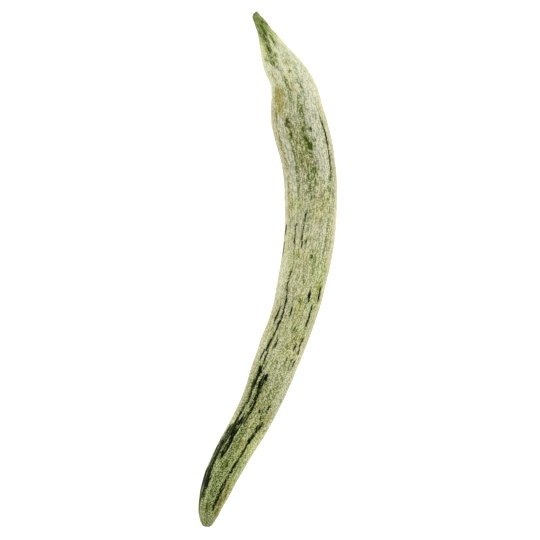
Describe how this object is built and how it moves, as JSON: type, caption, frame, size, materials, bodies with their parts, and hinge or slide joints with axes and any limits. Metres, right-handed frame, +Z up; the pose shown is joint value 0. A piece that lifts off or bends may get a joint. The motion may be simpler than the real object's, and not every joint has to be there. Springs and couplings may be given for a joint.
{
  "type": "snake gourd",
  "caption": "Long, slim, gently bent gourd with a pointed blossom tip and a blunt stalk end, lying on its side; pale green ribbed skin with dark broken streaks.",
  "frame": {"origin": "on the surface the gourd lies on, under the middle of its outline", "axes": "+Y along the gourd's length towards the pointed blossom tip, +Z up from the surface, +X towards the outside of the bend"},
  "size_m": [0.1216, 0.4501, 0.0481],
  "materials": {
    "skin": "matt, waxy bloom"
  },
  "bodies": {
    "root": {"gourd": "skin"}
  },
  "joints": []
}
